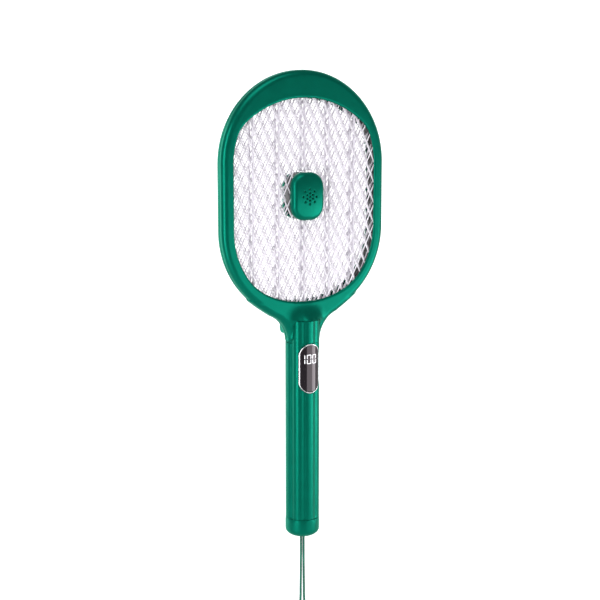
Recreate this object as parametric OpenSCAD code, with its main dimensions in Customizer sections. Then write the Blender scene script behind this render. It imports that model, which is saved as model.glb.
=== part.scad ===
// Racket-shaped electric bug zapper with a lamp in the middle of the head.
// Millimetres. +Z runs up along the handle to the head, the front (display and
// lamp cap) faces -Y, +X is to the right seen from the front. The origin lies on
// the handle's axis where the hand holds it.

/* [Head] */
// Width of the head across the outside of the ring
head_w = 180.5; // [172:0.5:186]
// Height of the head, top of the ring to its lowest point
head_h = 244.5; // [236:0.5:256]
// Depth of the ring, front to back
head_d = 17.5; // [17.5:0.5:20]
// Width of the ring seen from the front
rim_w = 12; // [12:0.25:13.5]
// Radius of the curve between the ring and the handle
neck_fillet = 31.5; // [28:0.5:33]

/* [Grids] */
// Width of one diamond
cell_w = 10; // [9:0.5:12]
// Height of one diamond
cell_h = 20.4; // [18:0.2:24]
// Width of a grid's strands
strand = 0.9; // [0.7:0.1:1.2]
// Thickness of one grid
grid_t = 1.0; // [0.8:0.1:1.1]
// Distance from one grid to the next
grid_pitch = 4; // [3.8:0.1:4]
// Number of uprights between an outer grid and the live grid
rib_count = 5; // [3:2:5]
// Distance between uprights
rib_pitch = 28.2; // [24:0.2:30]
// Width of an upright
rib_w = 1.5; // [1:0.1:2]

/* [Lamp] */
// Width of the lamp cap
lamp_w = 35; // [33:0.5:37]
// Height of the lamp cap
lamp_h = 47; // [45:1:51]
// Distance the lamp cap's face stands ahead of the ring's middle
lamp_front = 16.2; // [15.6:0.2:22]
// Diameter of a vent hole in the lamp cap
vent_d = 1.7; // [1.4:0.1:2]

/* [Handle] */
// Largest radius of the fluted handle
grip_r = 17.5; // [17.3:0.1:18.5]
// Radius of one flute's curve
flute_r = 8.5; // [8.3:0.1:9]
// Radius of the space inside the handle
bore_r = 13.8; // [13.7:0.05:13.9]
// Length from the origin down to the end of the handle
grip_below = 118; // [116:1:124]
// Length from the origin up to the seam on the front of the neck
grip_above = 106.5; // [106:0.5:107.5]

/* [Display] */
// Width of the display window with its bezel
display_w = 23; // [22:0.5:24]
// Height of the display window with its bezel
display_h = 50; // [48:0.5:52]
// Height of one numeral
digit_h = 9.5; // [8:0.5:10]

/* [Trigger and slider] */
// Width of the trigger
trigger_w = 18.6; // [16:0.2:18.8]
// Distance the trigger stands behind the handle's axis
trigger_back = 31; // [29:0.5:32]
// Travel of the mode slider
slider_travel = 6; // [4:1:6]

/* [Lanyard] */
// Diameter of the lanyard cord
cord_d = 2.6; // [2:0.1:2.8]

/* [Hidden] */

$fn = 64;
green = [0.02, 0.38, 0.28];
dark = [0.10, 0.10, 0.11];
white = [0.90, 0.90, 0.93];
steel = [0.72, 0.73, 0.75];
board_green = [0.05, 0.30, 0.16];
copper = [0.75, 0.42, 0.20];
wire_red = [0.8, 0.2, 0.2];

gap = 0.05;                                  // clearance between parts that touch
seam = 0.05;                                 // half the seam between the two halves
head_r = head_w / 2;
half_d = head_d / 2;
arc_off = (head_h - head_w) / 2;             // half the straight length of the ring
head_cz = grip_above + 0.85 + head_h / 2;     // middle of the head
low_z = head_cz - arc_off;                   // centre of the lower half ring
high_z = head_cz + arc_off;                  // centre of the upper half ring
rim_in = head_r - rim_w;                     // inner edge of the ring
web_d = half_d - 0.15;                       // half depth of the web in the neck
pocket_r = rim_in + 5;                       // outer edge of the pocket that holds the grids
grid_r = pocket_r - 0.2;
spacer_in = rim_in + 1.5;
mesh_r = rim_in + 3.1;                       // edge of the open diamonds
front_y = -1.5 * grid_pitch;                 // middle planes of the four grids
front_live_y = -0.5 * grid_pitch;
back_live_y = 0.5 * grid_pitch;
back_y = 1.5 * grid_pitch;
pocket_y = back_y + grid_t / 2 + gap;
lip_r = 1.9;
rim_round = 6.5;
lamp_z = head_cz;
lamp_round = 14;
lamp_crown = 4.6;                            // radius round the lamp cap's front edge
lip_low_r = 100;                             // radius of the lip's edge over the neck
lip_low_z = low_z - rim_in + 5.5;            // height of that edge above the neck
post_x = cell_w;
flute_c = grip_r - flute_r;                  // distance of a flute's centre from the axis
trigger_z = 106.5;                           // trigger pivot
trigger_y = 9.5;
neck_low = trigger_z - 22.5;                 // lower end of the neck on the ring's halves
neck_rise = 11.5;                             // height over which the neck flattens
spigot_low = neck_low - 7.5;
spigot_in = 12.2;
cap_h = 19.5;                                // height of the end cap
cap_top = cap_h - grip_below;
tongue_angle = 66.8;                         // half angle of the front shell's upper tongue
fillet_x = grip_r + neck_fillet;
fillet_z = low_z - sqrt(pow(head_r + neck_fillet + 2.2, 2) - pow(fillet_x, 2));
fillet_end = atan2(low_z - fillet_z, -fillet_x);
display_z = 58.6;
digits_z = 68.3;
lens_r = grip_r + 0.2;
press_z = trigger_z - 15;                    // height of the push switch
slider_z = 24;
screw_zs = [-73.5, 4.6, neck_low - 3];
socket_z = -82.2;
socket_w = 8.94;
socket_h = 3.26;
wire_d = 1.2;
thin_wire_d = 1.1;
screw_r = head_r - 4;                        // distance of the ring's screws from its centre line
ring_screws = [for (s = [-1, 1], p = [[screw_r, head_cz - 28], [screw_r, head_cz + 28],
    [24, neck_low + 27], [screw_r * cos(52), high_z + screw_r * sin(52)],
    [screw_r * cos(52), low_z - screw_r * sin(52)]]) [s * p[0], p[1]]];
led_spots = [for (s = [-1, 1]) each [[s * 6.5, 12], [s * 6.5, -12], [0, s * 17.5]]];

// Routes of the wires from the grids' tabs to the main board.
head_lead_routes = [
    [[-13.5, -4.9, 110], [-12, -4.4, 106.5], [-9.8, -3.2, 102.5], [-9.2, -1, 96]],
    [[-4.5, -0.9, 110], [-4.8, -0.9, 107], [-5.4, -1.6, 102.5], [-6, -1, 97]],
    [[4.5, 0.9, 110], [4.8, 0.9, 107], [5.6, 1.9, 102.5], [6, 2.3, 96]],
    [[13.5, 4.9, 110], [12, 4.4, 106.5], [9.8, 3, 102.5], [9.2, 2.4, 95]]];
// Routes of the wires from the cell's two ends and the charging board to the main board.
battery_lead_routes = [
    [[-4.5, 0, -0.2], [-6.5, 0, 1], [-8, -0.6, 5], [-8.4, -1, 12]],
    [[4, 0.6, -67], [9.9, 0.6, -67.2], [11.2, 0.4, -58], [11.2, 0, -30], [11.2, -0.4, -8],
        [9.6, -1, 4], [9, -1.2, 14]],
    [[-4, 2, -83.4], [-6.4, 2, -78], [-11.2, 0.6, -68], [-11.3, 0, -40], [-11.3, -0.6, -8],
        [-10.4, -1.2, 4], [-10, -1.2, 12]]];
// Route of the lanyard, one loop out of the end cap and back.
lanyard_route = [[-1.5, 0, -113], [-1.5, 0, -121], [-1.5, 0, -134], [-1.6, 0, -146],
    [-1.7, 0, -159], [-1.9, 0, -173], [-2.1, 0, -187], [-3.2, 0.1, -200], [-5.4, 0.3, -213],
    [-8.2, 0.5, -226], [-10.6, 0.8, -239], [-11.4, 1, -251], [-9.6, 1.1, -261],
    [-5.4, 1.1, -268], [0.4, 1, -270.5], [6, 0.9, -268], [10, 0.8, -261], [11.6, 0.6, -251],
    [10.6, 0.4, -239], [8.2, 0.2, -226], [5.4, 0, -213], [3.2, 0, -200], [2.1, 0, -187],
    [1.9, 0, -173], [1.7, 0, -159], [1.6, 0, -146], [1.5, 0, -134], [1.5, 0, -121],
    [1.5, 0, -113]];

function arc(cx, cy, r, a0, a1, n) =
    [for (i = [0:n]) let (a = a0 + (a1 - a0) * i / n) [cx + r * cos(a), cy + r * sin(a)]];
function unit(v) = v / norm(v);
// Catmull-Rom curve through a list of points, n steps to a stretch.
function curve_point(p0, p1, p2, p3, t) = 0.5 * (2 * p1 + (p2 - p0) * t
    + (2 * p0 - 5 * p1 + 4 * p2 - p3) * t * t + (3 * p1 - p0 - 3 * p2 + p3) * t * t * t);
function curve(p, n) = [for (i = [0:len(p) - 2], k = [0:n - 1])
    curve_point(p[max(i - 1, 0)], p[i], p[i + 1], p[min(i + 2, len(p) - 1)], k / n),
    p[len(p) - 1]];

// Tube of n sides along a path; side_dir is a direction the path never runs along.
module tube(path, d, n, side_dir) {
    last = len(path) - 1;
    points = [for (i = [0:last])
        let (t = unit(path[min(i + 1, last)] - path[max(i - 1, 0)]),
             u = unit(cross(t, side_dir)), v = cross(t, u))
        for (k = [0:n - 1]) path[i] + d / 2 * (u * cos(360 * k / n) + v * sin(360 * k / n))];
    walls = [for (i = [0:last - 1], k = [0:n - 1])
        let (a = i * n + k, b = i * n + (k + 1) % n) [b, a, a + n, b + n]];
    ends = [[for (k = [0:n - 1]) k], [for (k = [n - 1:-1:0]) last * n + k]];
    polyhedron(points, concat(walls, ends));
}

// A plate between y0 and y1 from an outline drawn in X and Z.
module plate(y0, y1) {
    translate([0, y1, 0]) rotate([90, 0, 0]) linear_extrude(y1 - y0) children();
}
// A bar along X from an outline drawn in Y and Z.
module bar(width) {
    translate([-width / 2, 0, 0]) rotate([90, 0, 90]) linear_extrude(width) children();
}
// A rod along Y.
module rod(x, z, y0, y1, r) {
    translate([x, y1, z]) rotate([90, 0, 0]) cylinder(h = y1 - y0, r = r);
}
// The same rod on every screw of the ring, or of the handle.
module on_ring_screws(y0, y1, r) {
    for (p = ring_screws) rod(p[0], p[1], y0, y1, r);
}
module on_handle_screws(y0, y1, r) {
    for (z = screw_zs) rod(0, z, y0, y1, r);
}
module half(side) {
    translate([-150, side > 0 ? seam : -100 - seam, -150]) cube([300, 100, 600]);
}
module stadium(r) {
    for (z = [low_z, high_z]) translate([0, z]) circle(r, $fn = 96);
    translate([-r, low_z]) square([2 * r, high_z - low_z]);
}
module pill(w, h, r, z) {
    translate([0, z]) for (sx = [-1, 1], sz = [-1, 1])
        translate([sx * (w / 2 - r), sz * (h / 2 - r)]) circle(r);
    if (h > 2 * r) translate([-w / 2, z - h / 2 + r]) square([w, h - 2 * r]);
    if (w > 2 * r) translate([-w / 2 + r, z - h / 2]) square([w - 2 * r, h]);
}
// Sweeps a section round the head: first coordinate is the distance from the
// centre line, second the distance towards the front.
module around_head() {
    translate([0, 0, high_z]) rotate([90, 0, 0]) rotate_extrude(angle = 180, $fn = 96) children();
    translate([0, 0, low_z]) rotate([90, 180, 0]) rotate_extrude(angle = 180, $fn = 96) children();
    for (side = [0, 1]) translate([0, 0, head_cz]) rotate([0, side * 180, 0])
        translate([0, 0, -arc_off]) mirror([0, 1, 0]) linear_extrude(2 * arc_off) children();
}
module rim_section() {
    polygon(concat(
        [[head_r, seam]],
        arc(head_r - rim_round, half_d - rim_round, rim_round, 0, 90, 6),
        arc(rim_in + lip_r, half_d - lip_r, lip_r, 90, 180, 4),
        [[rim_in, pocket_y], [pocket_r, pocket_y], [pocket_r, seam]]));
}
module fluted() {
    for (i = [0:7]) rotate(45 * i) translate([0, -flute_c]) circle(flute_r);
    circle(bore_r + 0.5);
}
module front_sector() {
    polygon([[0, 0], [-60 * tan(tongue_angle), -60], [60 * tan(tongue_angle), -60]]);
}
// Outline of the web between the ring and the handle.
module web() {
    right = concat([[14, neck_low + 3]], arc(fillet_x, fillet_z, neck_fillet, 168, fillet_end, 8),
        [[(head_r - 0.5) * cos(55), low_z - (head_r - 0.5) * sin(55)]]);
    polygon(concat(right, arc(0, low_z, pocket_r + 0.2, -58, -122, 16),
        [for (i = [len(right) - 1:-1:0]) [-right[i][0], right[i][1]]]));
}
// Half depth of the neck as it narrows from the handle to the ring.
function neck_depth(t) = web_d + (grip_r + 0.1 - web_d) * (1 + cos(180 * t)) / 2;
module neck_side() {
    back = [for (i = [0:8]) [neck_depth(i / 8), grip_above + neck_rise * i / 8]];
    polygon(concat([[grip_r + 0.1, neck_low]], back,
        [for (i = [8:-1:0]) [-back[i][0], back[i][1]]], [[-grip_r - 0.1, neck_low]]));
}
module neck_core() {
    intersection() {
        translate([0, 0, neck_low]) linear_extrude(grip_above + neck_rise - neck_low) fluted();
        bar(80) neck_side();
    }
    plate(-web_d, web_d) web();
}
module neck_hollow() {
    translate([0, 0, spigot_low - 1]) cylinder(h = 105 - spigot_low + 1, r = spigot_in);
    translate([-16, -pocket_y, 103]) cube([32, 2 * pocket_y, 13.2]);
    plate(-pocket_y, pocket_y) intersection() {
        stadium(pocket_r);
        translate([-50, 113]) square([100, 20]);
    }
    on_handle_screws(-20, 20, 3);
}
// Lip that the ring widens into above the neck, on the front.
module low_lip() {
    plate(-web_d, -pocket_y - 0.05) difference() {
        intersection() {
            stadium(pocket_r + 0.5);
            translate([-60, low_z - head_r]) square([120, 40]);
        }
        translate([0, lip_low_z + lip_low_r]) circle(lip_low_r, $fn = 128);
    }
}
module spigot() {
    translate([0, 0, spigot_low]) cylinder(h = grip_above + 1 - spigot_low, r = bore_r - 0.1);
}

module head_front_frame() {
    color(green) intersection() {
        half(-1);
        difference() {
            union() {
                around_head() rim_section();
                low_lip();
                difference() {
                    neck_core();
                    difference() {
                        translate([0, 0, neck_low - 1])
                            linear_extrude(grip_above + 0.15 - neck_low + 1) intersection() {
                                circle(40);
                                polygon([[0, 0.2], [-62 * tan(tongue_angle), -60],
                                         [62 * tan(tongue_angle), -60]]);
                            }
                        translate([0, 0, neck_low - 2]) cylinder(h = 30, r = bore_r - 0.1);
                    }
                }
                spigot();
            }
            neck_hollow();
            on_ring_screws(-6.6, 0, 0.95);
        }
    }
}

module head_back_frame() {
    color(green) intersection() {
        half(1);
        difference() {
            union() {
                mirror([0, 1, 0]) around_head() rim_section();
                mirror([0, 1, 0]) low_lip();
                neck_core();
                spigot();
            }
            neck_hollow();
            on_ring_screws(0, 12, 1.15);
            on_ring_screws(4.4, 12, 2.2);
            translate([-9.8, 5, neck_low + 2.4]) cube([19.6, 40, 24.1]);
            translate([-12.7, trigger_y, trigger_z]) rotate([0, 90, 0])
                cylinder(h = 25.4, r = 1.53);
        }
    }
}

module spacer(y0, y1) {
    around_head() translate([spacer_in, -y1]) square([grid_r - spacer_in, y1 - y0]);
}
module front_spacer() {
    color(dark) spacer(front_y + grid_t / 2 + gap, front_live_y - grid_t / 2 - gap);
}
module middle_spacer() {
    color(dark) difference() {
        spacer(front_live_y + grid_t / 2 + gap, back_live_y - grid_t / 2 - gap);
        translate([-3, -5, low_z - grid_r - 2]) cube([6, 10, 10]);
    }
}
module back_spacer() {
    color(dark) spacer(back_live_y + grid_t / 2 + gap, back_y - grid_t / 2 - gap);
}

// One diamond grid with its solder tab; shift moves the pattern, clear leaves room
// for the lamp.
module diamond_grid(y, tab_x, shift, clear) {
    across = sqrt(pow(cell_w / 2, 2) + pow(cell_h / 2, 2));
    inset = 1 - strand / 2 * across / (cell_w * cell_h / 4);
    plate(y - grid_t / 2, y + grid_t / 2) difference() {
        union() {
            stadium(grid_r);
            translate([tab_x - 2, 108]) square([4, 10]);
        }
        intersection() {
            stadium(mesh_r);
            for (i = [-17:17], j = [-8:8]) {
                x = i * cell_w / 2 + shift[0];
                z = lamp_z + (j + (i % 2 == 0 ? 0 : 0.5)) * cell_h + shift[1];
                if (abs(z - head_cz) < head_h / 2 && norm([x, max(abs(z - head_cz) - arc_off, 0)])
                        < mesh_r + 4)
                    translate([x, z]) scale(inset) polygon([[-cell_w / 2, 0], [0, -cell_h / 2],
                        [cell_w / 2, 0], [0, cell_h / 2]]);
            }
        }
        if (clear) pill(lamp_w + 4, lamp_h + 4, lamp_round + 2, lamp_z);
    }
}
module front_grid() { color(white) diamond_grid(front_y, -13.5, [0, 0], false); }
module front_live_grid() { color(white) diamond_grid(front_live_y, -4.5, [1.6, 4.2], true); }
module back_live_grid() { color(white) diamond_grid(back_live_y, 4.5, [-1.4, -5], true); }
module back_grid() { color(white) diamond_grid(back_y, 13.5, [0, 0], false); }

// Uprights between an outer grid and the live grid beside it.
module ribs(y0, y1) {
    n = (rib_count - 1) / 2;
    for (i = [-n:n]) {
        x = i * rib_pitch;
        end = arc_off + sqrt(pow(spacer_in - 0.1, 2) - pow(abs(x) + rib_w / 2, 2));
        cut = abs(x) < lamp_w / 2 ? lamp_h / 2 + 0.5 : 0;
        for (s = [-1, 1]) {
            stub = s > 0 ? head_cz + end - lamp_z : lamp_z - head_cz + end;
            if (cut > 0) translate([x - rib_w / 2, y0, s > 0 ? lamp_z + cut : lamp_z - stub])
                cube([rib_w, y1 - y0, stub - cut]);
        }
        if (cut == 0) translate([x - rib_w / 2, y0, head_cz - end])
            cube([rib_w, y1 - y0, 2 * end]);
    }
}
module front_ribs() {
    color(white) ribs(front_y + grid_t / 2 + gap, front_live_y - grid_t / 2 - gap);
}
module back_ribs() {
    color(white) ribs(back_live_y + grid_t / 2 + gap, back_y - grid_t / 2 - gap);
}

module head_screws() {
    color(steel) {
        on_ring_screws(-6, 4.5, 0.9);
        on_ring_screws(4.45, 6.1, 2);
    }
}

// Block with rounded edges at the front; inset takes it in on every side.
module lamp_block(y_front, y_back, inset) {
    w = lamp_w - 2 * inset;
    h = lamp_h - 2 * inset;
    r = lamp_round - inset;
    hull() for (a = [0:22.5:90]) {
        in = lamp_crown * (1 - cos(a));
        back = lamp_crown * (1 - sin(a));
        plate(y_front + back, a == 0 ? y_back : y_front + back + 0.1)
            pill(w - 2 * in, h - 2 * in, r - in, lamp_z, $fn = 32);
    }
}
// One vent hole in the cap's face, at a distance and an angle from its middle.
module vent(distance, angle) {
    rod(distance * sin(angle), lamp_z + distance * cos(angle), -lamp_front - 1, -lamp_front + 3,
        vent_d / 2);
}
module lamp_front_cap() {
    color(green) difference() {
        union() {
            difference() {
                lamp_block(-lamp_front, front_y - grid_t / 2 - 0.3, 0);
                lamp_block(-lamp_front + 2, front_y, 1.8);
            }
            for (s = [-1, 1]) rod(s * post_x, lamp_z, -lamp_front + 1.5, -8.1, 2.4);
        }
        for (s = [-1, 1]) rod(s * post_x, lamp_z, -13.6, 0, 0.95);
        vent(0, 0);
        for (i = [0:5]) vent(3.6, 60 * i);
        for (i = [0:7]) vent(7.3, 45 * i);
    }
}
module lamp_window() {
    y0 = front_y + grid_t / 2 + gap;
    color(dark) difference() {
        plate(y0, 2.6) pill(lamp_w - 1, lamp_h - 2, lamp_round + 1, lamp_z);
        plate(y0 - 1, 3) pill(lamp_w - 4.2, lamp_h - 5.2, lamp_round - 0.6, lamp_z);
        for (x = [-1.2, 1.2]) translate([x, 0, lamp_z - 30]) cylinder(h = 15, r = 0.8);
    }
}
module lamp_base() {
    color(dark) difference() {
        union() {
            plate(2.7, back_y - grid_t / 2 - 0.15)
                pill(lamp_w - 2, lamp_h - 3, lamp_round + 0.5, lamp_z);
            for (s = [-1, 1]) rod(s * post_x, lamp_z, -8, 3, 2.4);
        }
        for (s = [-1, 1]) rod(s * post_x, lamp_z, -9, 8, 1.15);
    }
}
module lamp_board() {
    color(board_green) difference() {
        plate(-0.6, 0.6) pill(lamp_w - 6.6, lamp_h - 6.6, lamp_round - 2.8, lamp_z);
        for (s = [-1, 1]) rod(s * post_x, lamp_z, -2, 2, 2.6);
        for (x = [-1.2, 1.2]) translate([x, 0, lamp_z - 30]) cylinder(h = 15, r = 0.8);
    }
}
module uv_leds() {
    color([0.75, 0.72, 0.9]) for (p = led_spots) translate([p[0], -0.65, lamp_z + p[1]])
        rotate([90, 0, 0]) rotate_extrude() intersection() {
            union() {
                square([2.3, 1.9]);
                translate([0, 1.9]) circle(2.3);
                square([2.7, 0.8]);
            }
            square([3, 5]);
        }
}
module lamp_back_cap() {
    color(green) difference() {
        hull() {
            plate(back_y + grid_t / 2 + 0.3, 9.6)
                pill(lamp_w - 1, lamp_h - 1, lamp_round - 0.5, lamp_z, $fn = 32);
            plate(9.6, 11.4) pill(lamp_w - 5, lamp_h - 5, lamp_round - 2.5, lamp_z, $fn = 32);
        }
        for (s = [-1, 1]) {
            rod(s * post_x, lamp_z, 5, 12, 1.15);
            rod(s * post_x, lamp_z, 9.6, 13, 2.3);
        }
    }
}
module lamp_screws() {
    color(steel) for (s = [-1, 1]) {
        rod(s * post_x, lamp_z, -13, 9.7, 0.9);
        rod(s * post_x, lamp_z, 9.65, 11, 2.1);
    }
}
module lamp_leads() {
    color(wire_red) for (s = [-1, 1])
        tube(curve([[s * 1.2, 0, lamp_z - 18.4], [s * 1.2, 0, 150], [s * 1.2, 0, 116],
            [s * 1.4, -0.8, 108], [s * 1.8, -2, 102], [s * 2, -1.2, 96]], 3),
            thin_wire_d, 8, [0, 1, 0]);
}

module handle_front_shell() {
    color(green) difference() {
        union() {
            difference() {
                union() {
                    translate([0, 0, cap_top + gap]) linear_extrude(neck_low - cap_top - 2 * gap)
                        intersection() {
                            fluted();
                            translate([-30, -60 - seam]) square([60, 60]);
                        }
                    translate([0, 0, neck_low - 1]) linear_extrude(grip_above - neck_low + 1)
                        intersection() {
                            fluted();
                            front_sector();
                        }
                }
                translate([0, 0, -150]) cylinder(h = 300, r = bore_r);
            }
            intersection() {
                on_handle_screws(-15, -0.3, 2.6);
                cylinder(h = 400, r = 15, center = true);
            }
        }
        difference() {
            plate(-30, -5) pill(display_w, display_h, display_w / 2, display_z);
            cylinder(h = 100, r = grip_r - 1.85);
        }
        plate(-30, -5) pill(15, 40, 7.5, display_z);
        on_handle_screws(-12, 0, 0.95);
    }
}
module handle_back_shell() {
    color(green) difference() {
        union() {
            translate([0, 0, cap_top + gap]) linear_extrude(neck_low - cap_top - 2 * gap)
                difference() {
                    intersection() {
                        fluted();
                        translate([-30, seam]) square([60, 60]);
                    }
                    circle(bore_r);
                }
            intersection() {
                on_handle_screws(0.3, 15, 2.6);
                cylinder(h = 400, r = 15, center = true);
            }
        }
        on_handle_screws(0, 20, 1.15);
        on_handle_screws(14.5, 20, 2.3);
        translate([-2.1, 10, slider_z - 2.3]) cube([4.2, 20, slider_travel + 4.6]);
        plate(10, 30) pill(socket_w + 0.5, socket_h + 0.5, (socket_h + 0.5) / 2, socket_z);
    }
}
module end_cap() {
    color(green) difference() {
        union() {
            intersection() {
                translate([0, 0, -grip_below]) linear_extrude(cap_h) fluted();
                rotate_extrude() polygon(concat([[0, -grip_below], [7, -grip_below]],
                    [for (a = [-75:15:0]) [7 + (grip_r - 6.9) * cos(a),
                        8 - grip_below + 8 * sin(a)]],
                    [[grip_r + 0.1, cap_top], [0, cap_top]]));
            }
            translate([0, 0, cap_top - 1]) cylinder(h = 6, r = bore_r - 0.1);
        }
        translate([0, 0, 4.6 - grip_below]) cylinder(h = 30, r = 11.6);
        translate([0, 0, -grip_below - 1]) cylinder(h = 10, r = 3.4);
    }
}
module handle_screws() {
    color(steel) {
        on_handle_screws(-10, 14.6, 0.9);
        on_handle_screws(14.55, 16.4, 2.1);
    }
}

// Part of a sleeve round the handle's axis that lies inside an outline at the front.
module wrapped(r_in, r_out) {
    intersection() {
        plate(-30, -5) children();
        difference() {
            cylinder(h = 110, r = r_out, $fn = 96);
            translate([0, 0, -1]) cylinder(h = 112, r = r_in, $fn = 96);
        }
    }
}
module display_bezel() {
    color([0.85, 0.87, 0.88]) wrapped(grip_r - 1.8, lens_r + 0.3) difference() {
        pill(display_w - 0.1, display_h - 0.1, display_w / 2 - 0.05, display_z);
        pill(display_w - 2, display_h - 2, display_w / 2 - 1, display_z);
    }
}
// Bars of the numeral 0 and of the numeral 1, drawn round a middle point.
module digit(number, x) {
    w = 4.8;
    t = 1.1;
    mid = digit_h / 2;
    translate([x, digits_z]) {
        for (s = [-1, 1]) translate([w / 2 - t, s > 0 ? 0.3 : -mid + t / 2])
            square([t, mid - 0.3 - t / 2]);
        if (number == 0) {
            for (s = [-1, 1]) translate([-w / 2, s > 0 ? 0.3 : -mid + t / 2])
                square([t, mid - 0.3 - t / 2]);
            for (s = [-1, 1]) translate([-w / 2 + t + 0.25, s * (mid - t / 2) - t / 2])
                square([w - 2 * t - 0.5, t]);
        }
    }
}
module digits() {
    digit(1, -8.2);
    digit(0, -1.9);
    digit(0, 4.1);
}
module display_lens() {
    color(dark) difference() {
        wrapped(grip_r - 1.5, lens_r)
            pill(display_w - 2.1, display_h - 2.1, display_w / 2 - 1.05, display_z);
        wrapped(lens_r - 0.32, lens_r + 1) digits();
    }
}
module display_digits() {
    color("white") wrapped(lens_r - 0.3, lens_r) digits();
}
module display_board() {
    color(board_green) translate([-7.8, -11.2, display_z - 24]) cube([15.6, 1.2, 41]);
    color(dark) translate([-6, -13.4, digits_z - 6]) cube([12, 2.2, 12]);
}

module main_board() {
    color(board_green) difference() {
        translate([-11.4, 0, 8.5]) cube([22.8, 1.6, 90]);
        rod(0, screw_zs[2], -1, 3, 3);
    }
}
module transformer() {
    color(copper) translate([-4.6, -8, 16]) cube([9.2, 6, 8]);
    color(dark) {
        translate([-6, -9.4, 12]) cube([12, 9.2, 4]);
        translate([-6, -9.4, 24]) cube([12, 9.2, 4]);
    }
}
module hv_capacitor() {
    color([0.55, 0.12, 0.08]) translate([-6.5, -6.6, neck_low + 0.3]) cube([13, 6.4, 9.6]);
}
module hv_diodes() {
    color(dark) for (i = [0:3]) translate([-9 + i * 6, -1.8, 36]) cylinder(h = 7, r = 1.4);
}
module controller_chip() {
    color(dark) translate([-3, -1.8, 48]) cube([6, 1.6, 8]);
}
module head_leads() {
    color(wire_red) for (route = head_lead_routes) tube(curve(route, 3), thin_wire_d, 8, [0, 1, 0]);
}

module trigger_outline() {
    translate([0, trigger_z]) polygon(concat([[trigger_y, 2.8], [13, 3.5], [17.5, 2.4],
        [trigger_back - 4.5, -2.4], [trigger_back, -8.5]],
        arc(trigger_back - 5, -12.5, 5, 0, -90, 6),
        [[18, -17.4], [14.4, -15.8], [13.4, -12], [12.8, -3.5], [trigger_y, -2.8]]));
}
module trigger_pocket() {
    translate([0, trigger_z]) polygon([[12, 0.6], [16.8, 0.4], [trigger_back - 5.8, -4.1],
        [trigger_back - 2, -9.2], [trigger_back - 2, -12.5], [trigger_back - 5, -15.5],
        [18.6, -15.4], [12, -13.5]]);
}
module trigger() {
    color(green) difference() {
        union() {
            difference() {
                bar(trigger_w) trigger_outline();
                bar(trigger_w - 3.8) trigger_pocket();
            }
            translate([-trigger_w / 2, trigger_y, trigger_z]) rotate([0, 90, 0])
                cylinder(h = trigger_w, r = 2.8);
            rod(0, press_z, 12, trigger_back - 3, 2.2);
            rod(0, press_z, 11.4, 12.8, 4);
        }
        translate([-20, trigger_y, trigger_z]) rotate([0, 90, 0]) cylinder(h = 40, r = 1.55);
    }
}
module trigger_pin() {
    color(steel) translate([-12.5, trigger_y, trigger_z]) rotate([0, 90, 0])
        cylinder(h = 25, r = 1.5);
}
module trigger_spring() {
    turns = 4;
    low = 5.5;
    high = 11.1;
    color(steel) tube([for (i = [0:12 * turns]) [2.8 * cos(30 * i),
        low + (high - low) * i / (12 * turns), press_z + 2.8 * sin(30 * i)]], 0.5, 6, [0, 1, 0]);
}
module push_switch() {
    color(dark) difference() {
        translate([-3.5, 1.7, press_z - 3.5]) cube([7, 3.5, 7]);
        rod(0, press_z, 1.8, 6, 1.6);
    }
}
module switch_plunger() {
    color(white) rod(0, press_z, 4.95, 11.1, 1.5);
}

module mode_slider() {
    color(green) {
        difference() {
            bar(8) polygon([[17.9, slider_z - 6], [19.6, slider_z - 5.4], [20.2, slider_z - 4],
                [20.2, slider_z + 4], [19.6, slider_z + 5.4], [17.9, slider_z + 6]]);
            for (i = [-1:1]) translate([-5, 19.8, slider_z + 2.4 * i - 0.5]) cube([10, 2, 1]);
        }
        translate([-1.8, 10, slider_z - 2]) cube([3.6, 8, 4]);
    }
}
module slide_switch() {
    color(steel) difference() {
        translate([-4.5, 1.7, slider_z - 6]) cube([9, 7.1, 18]);
        translate([-1.6, 6.9, slider_z - 1.6]) cube([3.2, 3, slider_travel + 3.2]);
    }
}
module slide_switch_lever() {
    color(dark) translate([-1.4, 7.1, slider_z - 1.4]) cube([2.8, 2.85, 2.8]);
}

module battery_cell() {
    color([0.15, 0.35, 0.75]) translate([0, 0, -66]) cylinder(h = 64, r = 9.15);
    color(steel) translate([0, 0, -2.05]) cylinder(h = 1.05, r = 3);
}
module battery_contacts() {
    color(steel) {
        translate([-3, -5, -66.4]) cube([6, 10, 0.3]);
        translate([-3, -5, -0.9]) cube([6, 10, 0.3]);
    }
}
module battery_leads() {
    color(wire_red) for (route = battery_lead_routes) tube(curve(route, 3), wire_d, 8, [0, 1, 0]);
}

module charge_board() {
    color(board_green) translate([-6.5, -8, socket_z - socket_h / 2 - 1.3]) cube([13, 19, 1.2]);
}
module charge_socket() {
    color(steel) difference() {
        plate(8.6, 16) pill(socket_w, socket_h, socket_h / 2, socket_z);
        plate(9.2, 18) pill(socket_w - 0.6, socket_h - 0.6, socket_h / 2 - 0.3, socket_z);
    }
    color(dark) translate([-3.3, 9.1, socket_z - 0.35]) cube([6.6, 5, 0.7]);
}

module lanyard_crimp() {
    color(steel) translate([0, 0, 5.6 - grip_below]) difference() {
        cylinder(h = 6, r = 4.6);
        translate([0, 0, 4.8]) cylinder(h = 3, r = 3.4);
    }
}
module lanyard() {
    color([0.02, 0.30, 0.23]) tube(curve(lanyard_route, 2), cord_d, 8, [0, 1, 0]);
}

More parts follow.
